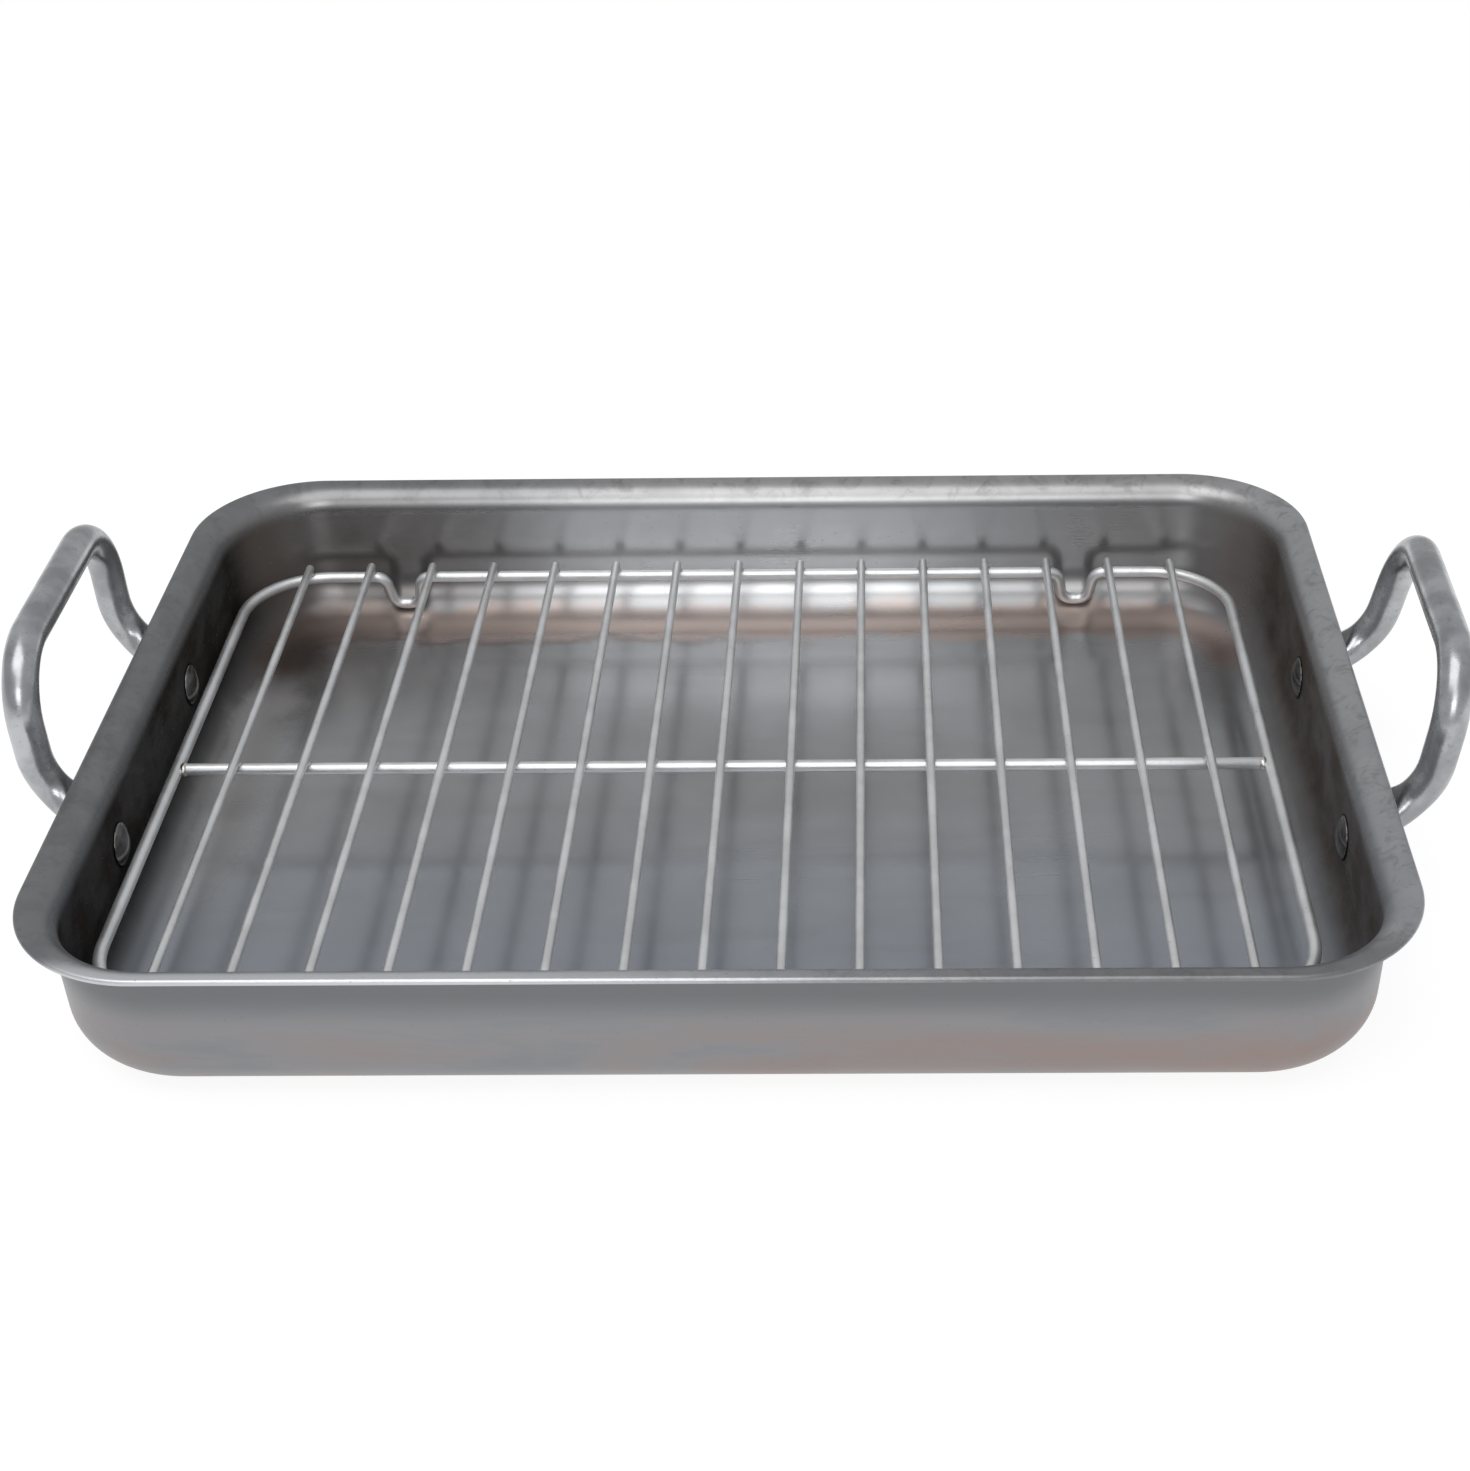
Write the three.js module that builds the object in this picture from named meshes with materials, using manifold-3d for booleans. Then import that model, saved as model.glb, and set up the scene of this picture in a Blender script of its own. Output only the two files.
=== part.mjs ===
// Rectangular steel roasting pan with riveted rod handles and a lift-out wire rack.
// Millimetres, +Z up. The origin is the centre of the pan's underside, and +X runs
// along the pan from the left handle to the right one.

import * as THREE from 'three';
import { mergeVertices } from 'three/addons/utils/BufferGeometryUtils.js';
import Module from 'manifold-3d';

const wasm = await Module();
wasm.setup();

// Pan, pressed from one sheet
const PAN_LENGTH = 400;
const PAN_WIDTH = 300;
const PAN_HEIGHT = 52;
const SHEET = 2;
const LIP_CORNER_RADIUS = 42;
const FLOOR_CORNER_RADIUS = 21;
const LIP_FLAT = 4.2;
const LIP_BEND_RADIUS = 4;
const BOTTOM_RADIUS = 20;
const WALL_DRAFT = THREE.MathUtils.degToRad(1.5);

// Handles, bent from round rod with flattened ends
const ROD_DIAMETER = 11.2;
const GRIP_SPACING = 96;
const LEFT_GRIP_SHIFT = 4.8;
const RIGHT_GRIP_SHIFT = -4.2;
const GRIP_RISE = 35.4;
const GRIP_REACH = 12.6;
const LEFT_GRIP_LEAN = 1.5;
const RIGHT_GRIP_LEAN = 6;
const RIGHT_GRIP_SAG = 3.9;
const RIGHT_GRIP_SPLAY = 3.3;
const GRIP_BEND_RADIUS = 21.5;
const LEG_BEND_RADIUS = 24;
const LEG_BEND_DROP = 10.6;
const LUG_THICKNESS = 5;
const LUG_WIDTH = 20;
const LEFT_LUG_SHIFT = 0.6;
const RIGHT_LUG_SHIFT = -4;
const LUG_BEND_RADIUS = 6;
const LUG_TIP_FLAT = 4.8;
const LUG_SQUARENESS = 5;
const ROD_SQUARENESS = 2;
const ROUNDING_LENGTH = 18;

// Rivets, domed inside the pan and upset over the handle's lug
const RIVET_RISE = 8;
const RIVET_SPACING = 94.5;
const RIVET_SHIFT = -3.8;
const RIVET_HEAD_DIAMETER = 11;
const RIVET_HEAD_HEIGHT = 2;
const RIVET_SHANK_DIAMETER = 6;
const RIVET_TAIL_DIAMETER = 9;
const RIVET_TAIL_HEIGHT = 1.8;

// Rack, welded from straight wires on one bent frame wire
const FRAME_WIRE = 4;
const CROSS_WIRE = 3;
const CROSS_WIRE_COUNT = 15;
const FIRST_WIRE_INSET = 19.8;
const FRAME_HEIGHT = 19.9;
const FRONT_CORNER_RADIUS = 35;
const REAR_CORNER_RADIUS = 28;
const RACK_SHIFT = -5.2;
const RACK_END_CLEARANCE = 0.3;
const RACK_SIDE_CLEARANCE = 7.8;
const FOOT_PITCHES = 5.5;
const FOOT_WIDTH = 9.4;
const FOOT_FLARE = 2;
const FOOT_SPREAD = 3;
const FOOT_BEND_RADIUS = 4.4;

// Clearances between pieces
const SEAT_GAP = 0.3;
const WELD_GAP = 0.1;
const HOLE_CLEARANCE = 0.2;

// Facets
const CORNER_STEPS = 10;
const FILLET_STEPS = 8;
const BEND_STEPS = 5;
const ROD_SIDES = 12;
const WIRE_SIDES = 8;
const RIVET_SIDES = 20;
const DOME_STEPS = 5;
const TIP_STEPS = 4;

const steel = new THREE.MeshStandardMaterial({ color: 0x7c8084, roughness: 0.45, metalness: 1 });
const polished = new THREE.MeshStandardMaterial({ color: 0xc8cbce, roughness: 0.22, metalness: 1 });
const riveted = new THREE.MeshStandardMaterial({ color: 0x5e6165, roughness: 0.4, metalness: 1 });
const wire = new THREE.MeshStandardMaterial({ color: 0xd2d3d2, roughness: 0.2, metalness: 1 });

// Points of an arc in a plane, from one angle to another
function arc(centre, radius, from, to, steps) {
  return Array.from({ length: steps + 1 }, (_, i) => {
    const angle = from + ((to - from) * i) / steps;
    return new THREE.Vector2(centre.x + radius * Math.cos(angle), centre.y + radius * Math.sin(angle));
  });
}

// Skins a row of matching outlines. An open row is closed at both ends by fans.
function loft(rings, ringClosed = false) {
  const sides = rings[0].length;
  const vertices = rings.flat();
  const triangles = [];
  const spans = ringClosed ? rings.length : rings.length - 1;
  for (let row = 0; row < spans; row += 1) {
    const here = row * sides;
    const there = ((row + 1) % rings.length) * sides;
    for (let i = 0; i < sides; i += 1) {
      const next = (i + 1) % sides;
      triangles.push(here + i, here + next, there + next, here + i, there + next, there + i);
    }
  }
  if (!ringClosed) {
    const last = (rings.length - 1) * sides;
    const middle = (ring) => ring.reduce((sum, p) => sum.add(p), new THREE.Vector3()).divideScalar(sides);
    const first = vertices.push(middle(rings[0]), middle(rings[rings.length - 1])) - 2;
    for (let i = 0; i < sides; i += 1) {
      const next = (i + 1) % sides;
      triangles.push(first, next, i, first + 1, last + i, last + next);
    }
  }
  const geometry = new THREE.BufferGeometry().setFromPoints(vertices);
  geometry.setIndex(triangles);
  return geometry;
}

// Rounds the corners of a row of points: each corner is { at, radius }. Two bends that share a
// short stretch divide it by their radii.
function bentPath(corners, closed = false) {
  const count = corners.length;
  const points = [];
  corners.forEach(({ at, radius }, i) => {
    if (!closed && (i === 0 || i === count - 1)) {
      points.push(at.clone());
      return;
    }
    const before = corners[(i + count - 1) % count];
    const after = corners[(i + 1) % count];
    const back = before.at.clone().sub(at).normalize();
    const ahead = after.at.clone().sub(at).normalize();
    const half = back.angleTo(ahead) / 2;
    const share = (other) => (at.distanceTo(other.at) * radius) / (radius + other.radius);
    const bend = Math.min(radius, Math.min(share(before), share(after)) * Math.tan(half));
    const inward = back.clone().add(ahead).normalize();
    const centre = at.clone().addScaledVector(inward, bend / Math.sin(half));
    const start = at.clone().addScaledVector(back, bend / Math.tan(half)).sub(centre);
    const turn = Math.PI - 2 * half;
    const axis = back.clone().cross(ahead).normalize().negate();
    const steps = Math.max(2, Math.round((BEND_STEPS * turn) / (Math.PI / 3)));
    for (let k = 0; k <= steps; k += 1) {
      points.push(start.clone().applyAxisAngle(axis, (turn * k) / steps).add(centre));
    }
  });
  return points;
}

// Carries an outline along a path without twisting it. outlineAt(i) gives the outline at the
// path's i-th point, with x along the carried normal.
function sweep(path, normal, outlineAt, closed = false) {
  const count = path.length;
  const carried = normal.clone();
  const frames = path.map((point, i) => {
    const before = path[closed ? (i + count - 1) % count : Math.max(i - 1, 0)];
    const after = path[closed ? (i + 1) % count : Math.min(i + 1, count - 1)];
    const toHere = point.clone().sub(before).normalize();
    const fromHere = after.clone().sub(point).normalize();
    const tangent = toHere.add(fromHere).normalize();
    carried.addScaledVector(tangent, -carried.dot(tangent)).normalize();
    return { across: carried.clone(), side: tangent.clone().cross(carried) };
  });
  const last = frames[count - 1];
  const turned = closed ? 0 : Math.atan2(normal.dot(last.side), normal.dot(last.across));
  const rings = path.map((point, i) => {
    const back = turned * THREE.MathUtils.smoothstep(i, count / 4, (3 * count) / 4);
    const { across, side } = frames[i];
    return outlineAt(i).map((p) => {
      const q = p.clone().rotateAround(new THREE.Vector2(), back);
      return point.clone().addScaledVector(across, q.x).addScaledVector(side, q.y);
    });
  });
  return loft(rings, closed);
}

// Outline between an ellipse, at a rod's squareness, and a slab with rounded edges
function flattened(thickness, width, squareness, sides) {
  const bulge = (v) => Math.sign(v) * Math.abs(v) ** (2 / squareness);
  return Array.from({ length: sides }, (_, i) => {
    const angle = (2 * Math.PI * i) / sides;
    return new THREE.Vector2((thickness / 2) * bulge(Math.cos(angle)), (width / 2) * bulge(Math.sin(angle)));
  });
}

function solidOf(geometry) {
  const bare = geometry.clone();
  bare.deleteAttribute('normal');
  bare.deleteAttribute('uv');
  const merged = mergeVertices(bare);
  return new wasm.Manifold(new wasm.Mesh({
    numProp: 3,
    vertProperties: new Float32Array(merged.attributes.position.array),
    triVerts: new Uint32Array(merged.index.array),
  }));
}

function geometryOf(solid) {
  const mesh = solid.getMesh();
  const geometry = new THREE.BufferGeometry();
  geometry.setAttribute('position', new THREE.BufferAttribute(mesh.vertProperties, 3));
  geometry.setIndex(new THREE.BufferAttribute(mesh.triVerts, 1));
  return geometry;
}

function named(name, geometry, material) {
  const mesh = new THREE.Mesh(geometry, material);
  mesh.name = name;
  return mesh;
}

// Section of the pan's wall: x is the inset from the lip's edge and y the height.
// The outside of the wall is tangent to the bend under the lip and to the floor's rounding.
const bendCentre = new THREE.Vector2(LIP_FLAT, PAN_HEIGHT - SHEET - LIP_BEND_RADIUS);
const wallTop = new THREE.Vector2(
  bendCentre.x + LIP_BEND_RADIUS * Math.cos(WALL_DRAFT),
  bendCentre.y + LIP_BEND_RADIUS * Math.sin(WALL_DRAFT),
);
const wallInset = (height) => wallTop.x + (wallTop.y - height) * Math.tan(WALL_DRAFT);
const filletTop = BOTTOM_RADIUS * (1 - Math.sin(WALL_DRAFT));
const filletCentre = new THREE.Vector2(
  wallInset(filletTop) + BOTTOM_RADIUS * Math.cos(WALL_DRAFT),
  BOTTOM_RADIUS,
);
const sheetAcross = SHEET / Math.cos(WALL_DRAFT);
const innerInset = (height) => wallInset(height) + sheetAcross;

function panSection() {
  const floorEdge = 1.5 * Math.PI;
  const wallSide = Math.PI + WALL_DRAFT;
  const lipSide = Math.PI / 2;
  return [
    ...arc(filletCentre, BOTTOM_RADIUS, floorEdge, wallSide, FILLET_STEPS),
    ...arc(bendCentre, LIP_BEND_RADIUS, WALL_DRAFT, lipSide, BEND_STEPS),
    new THREE.Vector2(0, PAN_HEIGHT - SHEET),
    new THREE.Vector2(0, PAN_HEIGHT),
    ...arc(bendCentre, LIP_BEND_RADIUS + SHEET, lipSide, WALL_DRAFT, BEND_STEPS),
    ...arc(filletCentre, BOTTOM_RADIUS - SHEET, wallSide, floorEdge, FILLET_STEPS),
  ];
}

// Outline of the pan at one point of its section. Its corners tighten from the lip to the floor.
function panOutline({ x: inset, y: height }) {
  const radius = THREE.MathUtils.lerp(LIP_CORNER_RADIUS, FLOOR_CORNER_RADIUS, inset / filletCentre.x);
  const reachX = PAN_LENGTH / 2 - inset - radius;
  const reachY = PAN_WIDTH / 2 - inset - radius;
  const corners = [[1, 1], [-1, 1], [-1, -1], [1, -1]];
  return corners.flatMap(([signX, signY], quarter) => {
    const centre = new THREE.Vector2(signX * reachX, signY * reachY);
    const from = (quarter * Math.PI) / 2;
    return arc(centre, radius, from, from + Math.PI / 2, CORNER_STEPS)
      .map((p) => new THREE.Vector3(p.x, p.y, height));
  });
}

// Frame of a rivet: its origin is on the outside of the wall, its +Y points out of the pan
const rivetHeight = BOTTOM_RADIUS + RIVET_RISE;
const ends = [
  {
    name: 'left',
    turn: Math.PI,
    lugShift: LEFT_LUG_SHIFT,
    gripShift: LEFT_GRIP_SHIFT,
    lean: LEFT_GRIP_LEAN,
    sag: 0,
    splay: 0,
  },
  {
    name: 'right',
    turn: 0,
    lugShift: RIGHT_LUG_SHIFT,
    gripShift: RIGHT_GRIP_SHIFT,
    lean: RIGHT_GRIP_LEAN,
    sag: RIGHT_GRIP_SAG,
    splay: RIGHT_GRIP_SPLAY,
  },
];
const legs = [
  { name: 'front', side: -1 },
  { name: 'rear', side: 1 },
];

function rivetFrame(end, leg) {
  const onWall = new THREE.Vector3(
    PAN_LENGTH / 2 - wallInset(rivetHeight),
    Math.cos(end.turn) * (RIVET_SHIFT + (leg.side * RIVET_SPACING) / 2),
    rivetHeight,
  );
  const outward = new THREE.Matrix4().makeRotationZ(-Math.PI / 2 - WALL_DRAFT);
  const upright = new THREE.Matrix4().makeRotationX(Math.PI / 2);
  return new THREE.Matrix4()
    .makeRotationZ(end.turn)
    .multiply(new THREE.Matrix4().makeTranslation(onWall))
    .multiply(upright)
    .multiply(outward);
}

const lugFace = SEAT_GAP + LUG_THICKNESS;

function rivetHole(end, leg) {
  const holeRadius = RIVET_SHANK_DIAMETER / 2 + HOLE_CLEARANCE;
  const depth = 2 * (SHEET + lugFace);
  const hole = new THREE.CylinderGeometry(holeRadius, holeRadius, depth, RIVET_SIDES);
  return solidOf(hole.applyMatrix4(rivetFrame(end, leg)));
}

// Points of a dome's section, from its edge to its tip
function dome(edgeRadius, base, height) {
  const curve = (edgeRadius ** 2 + height ** 2) / (2 * Math.abs(height));
  const spread = Math.asin(edgeRadius / curve);
  const direction = Math.sign(height);
  return Array.from({ length: DOME_STEPS + 1 }, (_, i) => {
    const angle = spread * (1 - i / DOME_STEPS);
    const rise = curve * (Math.cos(angle) - Math.cos(spread));
    return new THREE.Vector2(curve * Math.sin(angle), base + direction * rise);
  });
}

function rivet(end, leg) {
  const shankRadius = RIVET_SHANK_DIAMETER / 2;
  const headSeat = -SHEET - SEAT_GAP;
  const tailSeat = lugFace + SEAT_GAP;
  const head = dome(RIVET_HEAD_DIAMETER / 2, headSeat, -RIVET_HEAD_HEIGHT).reverse();
  const tail = dome(RIVET_TAIL_DIAMETER / 2, tailSeat, RIVET_TAIL_HEIGHT);
  const section = [
    ...head,
    new THREE.Vector2(shankRadius, headSeat),
    new THREE.Vector2(shankRadius, tailSeat),
    ...tail,
  ];
  const turned = new THREE.LatheGeometry(section, RIVET_SIDES);
  return geometryOf(solidOf(turned.applyMatrix4(rivetFrame(end, leg))));
}

function panBody() {
  let body = solidOf(loft(panSection().map(panOutline)));
  ends.forEach((end) => legs.forEach((leg) => {
    body = body.subtract(rivetHole(end, leg));
  }));
  return geometryOf(body);
}

// Handle: a lug up the wall, a leg out under the lip and up, and the grip across.
// It leans out, and the corner on its own +Y side sags and splays, as the rod was bent by hand.
function handle(end) {
  const lugCentre = SEAT_GAP + LUG_THICKNESS / 2;
  const wallX = (height) => PAN_LENGTH / 2 - wallInset(height) + lugCentre / Math.cos(WALL_DRAFT);
  const lugFoot = rivetHeight - LUG_WIDTH / 2;
  const lugTop = rivetHeight + RIVET_TAIL_DIAMETER / 2 + LUG_BEND_RADIUS / 2;
  const legX = PAN_LENGTH / 2 + GRIP_REACH;
  const gripX = legX + end.lean;
  const facing = Math.cos(end.turn);
  const leg = (side, sag, splay) => {
    const lugY = facing * end.lugShift + (side * RIVET_SPACING) / 2;
    const gripY = facing * end.gripShift + (side * GRIP_SPACING) / 2;
    return [
      { at: new THREE.Vector3(wallX(lugFoot), lugY, lugFoot), radius: 0 },
      { at: new THREE.Vector3(wallX(lugTop), lugY, lugTop), radius: LUG_BEND_RADIUS },
      { at: new THREE.Vector3(legX, gripY, PAN_HEIGHT - LEG_BEND_DROP), radius: LEG_BEND_RADIUS },
      {
        at: new THREE.Vector3(gripX + splay, gripY, PAN_HEIGHT + GRIP_RISE - sag),
        radius: GRIP_BEND_RADIUS,
      },
    ];
  };
  const bent = bentPath([...leg(1, end.sag, end.splay), ...leg(-1, 0, 0).reverse()]);

  // The lug's round tip needs points of its own along the first and last straight stretch
  const tip = (from, to) => Array.from({ length: TIP_STEPS }, (_, i) => {
    const along = (LUG_WIDTH / 2) * (1 - Math.cos((Math.PI / 2) * ((i + 1) / (TIP_STEPS + 1))));
    return from.clone().addScaledVector(to.clone().sub(from).normalize(), along);
  });
  const path = [
    bent[0],
    ...tip(bent[0], bent[1]),
    ...bent.slice(1, -1),
    ...tip(bent[bent.length - 1], bent[bent.length - 2]).reverse(),
    bent[bent.length - 1],
  ];

  const travelled = [0];
  path.forEach((point, i) => {
    if (i > 0) travelled.push(travelled[i - 1] + point.distanceTo(path[i - 1]));
  });
  const total = travelled[travelled.length - 1];
  const lugLength = lugTop - lugFoot;
  const outlineAt = (i) => {
    const fromTip = Math.min(travelled[i], total - travelled[i]);
    const rounded = THREE.MathUtils.smoothstep(fromTip, lugLength, lugLength + ROUNDING_LENGTH);
    const past = Math.min(fromTip / (LUG_WIDTH / 2), 1);
    const tipWidth = Math.max(LUG_WIDTH * Math.sqrt(1 - (1 - past) ** 2), LUG_TIP_FLAT);
    return flattened(
      THREE.MathUtils.lerp(LUG_THICKNESS, ROD_DIAMETER, rounded),
      THREE.MathUtils.lerp(tipWidth, ROD_DIAMETER, rounded),
      THREE.MathUtils.lerp(LUG_SQUARENESS, ROD_SQUARENESS, rounded),
      ROD_SIDES,
    );
  };
  const rod = sweep(path, new THREE.Vector3(1, 0, 0), outlineAt);
  let solid = solidOf(rod.applyMatrix4(new THREE.Matrix4().makeRotationZ(end.turn)));
  legs.forEach((side) => {
    solid = solid.subtract(rivetHole(end, side));
  });
  return geometryOf(solid);
}

// Rack: its own frame has the frame wire's axis at z 0
const frameZ = SHEET + FRAME_HEIGHT;
const frameRadius = FRAME_WIRE / 2;
const crossRadius = CROSS_WIRE / 2;
const rackHalfLength = PAN_LENGTH / 2 - innerInset(frameZ) - SEAT_GAP - RIVET_HEAD_HEIGHT
  - RACK_END_CLEARANCE - frameRadius - Math.abs(RACK_SHIFT);
const rackHalfWidth = PAN_WIDTH / 2 - innerInset(frameZ) - RACK_SIDE_CLEARANCE - frameRadius;
const wirePitch = (2 * (rackHalfLength - FIRST_WIRE_INSET)) / (CROSS_WIRE_COUNT - 1);

// Height of a foot's wire axis where it rests on the rounded edge of the floor
function footZ() {
  const across = rackHalfWidth + FOOT_SPREAD - (PAN_WIDTH / 2 - filletCentre.x);
  const reach = BOTTOM_RADIUS - SHEET - frameRadius - SEAT_GAP;
  const onFloor = filletCentre.y - reach;
  return across > 0 ? filletCentre.y - Math.sqrt(reach ** 2 - across ** 2) : onFloor;
}

function rackFrame() {
  const drop = footZ() - frameZ;
  const footX = FOOT_PITCHES * wirePitch;
  const halfTop = FOOT_WIDTH / 2 + FOOT_FLARE;
  const halfSole = FOOT_WIDTH / 2;
  const foot = (x, y, heading) => {
    const soleY = y - heading * FOOT_SPREAD;
    return [
      { at: new THREE.Vector3(x - heading * halfTop, y, 0), radius: FOOT_BEND_RADIUS },
      { at: new THREE.Vector3(x - heading * halfSole, soleY, drop), radius: FOOT_BEND_RADIUS },
      { at: new THREE.Vector3(x + heading * halfSole, soleY, drop), radius: FOOT_BEND_RADIUS },
      { at: new THREE.Vector3(x + heading * halfTop, y, 0), radius: FOOT_BEND_RADIUS },
    ];
  };
  const corner = (x, y) => ({
    at: new THREE.Vector3(x, y, 0),
    radius: y < 0 ? FRONT_CORNER_RADIUS : REAR_CORNER_RADIUS,
  });
  const path = bentPath([
    corner(-rackHalfLength, -rackHalfWidth),
    ...foot(-footX, -rackHalfWidth, 1),
    ...foot(footX, -rackHalfWidth, 1),
    corner(rackHalfLength, -rackHalfWidth),
    corner(rackHalfLength, rackHalfWidth),
    ...foot(footX, rackHalfWidth, -1),
    ...foot(-footX, rackHalfWidth, -1),
    corner(-rackHalfLength, rackHalfWidth),
  ], true);
  const round = flattened(FRAME_WIRE, FRAME_WIRE, ROD_SQUARENESS, WIRE_SIDES);
  return sweep(path, new THREE.Vector3(0, 0, 1), () => round, true);
}

// How far the frame wire's axis lies from the rack's middle at one place along the rack
function frameReach(x, cornerRadius) {
  const past = Math.max(Math.abs(x) - (rackHalfLength - cornerRadius), 0);
  return rackHalfWidth - cornerRadius + Math.sqrt(cornerRadius ** 2 - past ** 2);
}

function straightWire(diameter, length) {
  return new THREE.CylinderGeometry(diameter / 2, diameter / 2, length, WIRE_SIDES);
}

const pan = new THREE.Group();
pan.add(named('pan_body', panBody(), steel));
ends.forEach((end) => {
  pan.add(named(`handle_${end.name}`, handle(end), polished));
  legs.forEach((leg) => pan.add(named(`rivet_${end.name}_${leg.name}`, rivet(end, leg), riveted)));
});

const rack = new THREE.Group();
rack.position.set(RACK_SHIFT, 0, frameZ);
rack.add(named('rack_frame', rackFrame(), wire));

const centreWire = named(
  'rack_centre_wire',
  straightWire(FRAME_WIRE, 2 * (rackHalfLength - frameRadius - SEAT_GAP)),
  wire,
);
centreWire.rotation.z = Math.PI / 2;
rack.add(centreWire);

for (let i = 0; i < CROSS_WIRE_COUNT; i += 1) {
  const x = (i - (CROSS_WIRE_COUNT - 1) / 2) * wirePitch;
  const front = frameReach(x, FRONT_CORNER_RADIUS) + frameRadius;
  const rear = frameReach(x, REAR_CORNER_RADIUS) + frameRadius;
  const crossWire = named(
    `rack_cross_wire_${String(i + 1).padStart(2, '0')}`,
    straightWire(CROSS_WIRE, front + rear),
    wire,
  );
  crossWire.position.set(x, (rear - front) / 2, frameRadius + crossRadius + WELD_GAP);
  rack.add(crossWire);
}

const roastingPan = new THREE.Group();
roastingPan.add(pan, rack);

export default roastingPan;
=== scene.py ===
import math

import bpy
import numpy as np
from mathutils import Matrix, Vector


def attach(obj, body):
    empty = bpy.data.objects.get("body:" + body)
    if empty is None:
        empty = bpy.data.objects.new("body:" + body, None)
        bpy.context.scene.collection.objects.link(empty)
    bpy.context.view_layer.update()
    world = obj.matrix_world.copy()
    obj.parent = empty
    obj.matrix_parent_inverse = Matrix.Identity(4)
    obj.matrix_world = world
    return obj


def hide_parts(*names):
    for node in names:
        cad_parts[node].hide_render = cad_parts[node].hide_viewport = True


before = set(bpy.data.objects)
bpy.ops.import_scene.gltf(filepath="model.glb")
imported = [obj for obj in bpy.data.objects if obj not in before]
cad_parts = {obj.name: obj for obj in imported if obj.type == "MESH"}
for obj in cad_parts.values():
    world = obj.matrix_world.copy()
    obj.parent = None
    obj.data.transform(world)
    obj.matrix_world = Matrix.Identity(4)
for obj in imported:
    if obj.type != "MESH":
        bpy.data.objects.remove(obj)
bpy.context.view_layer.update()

# Sizes of the object, in millimetres, as in its CAD source, where the lip's bend is tighter
# and the rivets' heads are smaller than the shown ones
MM = 0.001
PAN_LENGTH = 400.0
PAN_WIDTH = 300.0
PAN_HEIGHT = 52.0
SHEET = 2.0
LIP_CORNER_RADIUS = 42.0
FLOOR_CORNER_RADIUS = 21.0
LIP_FLAT = 1.2
LIP_BEND_RADIUS = 7.0
BOTTOM_RADIUS = 20.0
WALL_DRAFT = math.radians(1.5)
EDGE_ROUNDING = 0.95

ROD_DIAMETER = 11.2
GRIP_SPACING = 96.0
LEFT_GRIP_SHIFT = 4.8
RIGHT_GRIP_SHIFT = -4.2
GRIP_RISE = 35.4
GRIP_REACH = 12.6
LEFT_GRIP_LEAN = 1.5
RIGHT_GRIP_LEAN = 6.0
RIGHT_GRIP_SAG = 3.9
RIGHT_GRIP_SPLAY = 3.3
GRIP_BEND_RADIUS = 21.5
LEG_BEND_RADIUS = 24.0
LEG_BEND_DROP = 10.6
LUG_THICKNESS = 5.0
LUG_WIDTH = 20.0
LEFT_LUG_SHIFT = 0.6
RIGHT_LUG_SHIFT = -4.0
LUG_BEND_RADIUS = 6.0
LUG_TIP_FLAT = 4.8
LUG_SQUARENESS = 5.0
ROD_SQUARENESS = 2.0
ROUNDING_LENGTH = 18.0

RIVET_RISE = 8.0
RIVET_SPACING = 94.5
RIVET_SHIFT = -3.8
RIVET_HEAD_HEIGHT = 2.0  # of the CAD rivets, which the rack clears
RIVET_DOME_DIAMETER = 14.6
RIVET_DOME_HEIGHT = 2.2
RIVET_SHANK_DIAMETER = 6.0
RIVET_TAIL_DIAMETER = 9.0
RIVET_TAIL_HEIGHT = 1.8

FRAME_WIRE = 4.0
CROSS_WIRE = 3.0
CROSS_WIRE_COUNT = 15
FIRST_WIRE_INSET = 19.8
FRAME_HEIGHT = 19.9
FRONT_CORNER_RADIUS = 35.0
REAR_CORNER_RADIUS = 28.0
RACK_SHIFT = -5.2
RACK_END_CLEARANCE = 0.3
RACK_SIDE_CLEARANCE = 7.8
FOOT_PITCHES = 5.5
FOOT_WIDTH = 9.4
FOOT_FLARE = 2.0
FOOT_SPREAD = 3.0
FOOT_BEND_RADIUS = 4.4
SEAT_GAP = 0.3
WELD_GAP = 0.1

# Fineness of the shown surfaces
CORNER_STEPS = 30
FILLET_STEPS = 28
LIP_STEPS = 14
EDGE_STEPS = 4
BEND_ANGLE = math.radians(4)
ROD_STEP = 1.2
ROD_SIDES = 40
ROD_SHAVING = 0.25  # keeps the shown grips inside the box of the faceted CAD rods
WIRE_SIDES = 20
RIVET_SIDES = 48
DOME_STEPS = 10
TIP_ANGLE = 0.02
WELD_SIDES = 16
WELD_ROWS = 9
WELD_TIP = 0.02
WIRE_TIP_ROUNDING = 0.5
WIRE_TIP_STEPS = 5
WIRE_STEPS = 9

# Weld beads: half sizes along X, Y and Z
SPOT_WELD = (2.0, 1.9, 0.75)
END_WELD = (1.7, 2.7, 2.3)
END_WELD_INSET = 0.4


def arc(centre, radius, start, end, steps):
    angles = np.linspace(start, end, steps + 1)
    return [(centre[0] + radius * math.cos(a), centre[1] + radius * math.sin(a)) for a in angles]


def unit(vector):
    return vector / np.linalg.norm(vector)


def smoothstep(value, low, high):
    t = min(max((value - low) / (high - low), 0.0), 1.0)
    return t * t * (3 - 2 * t)


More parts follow.
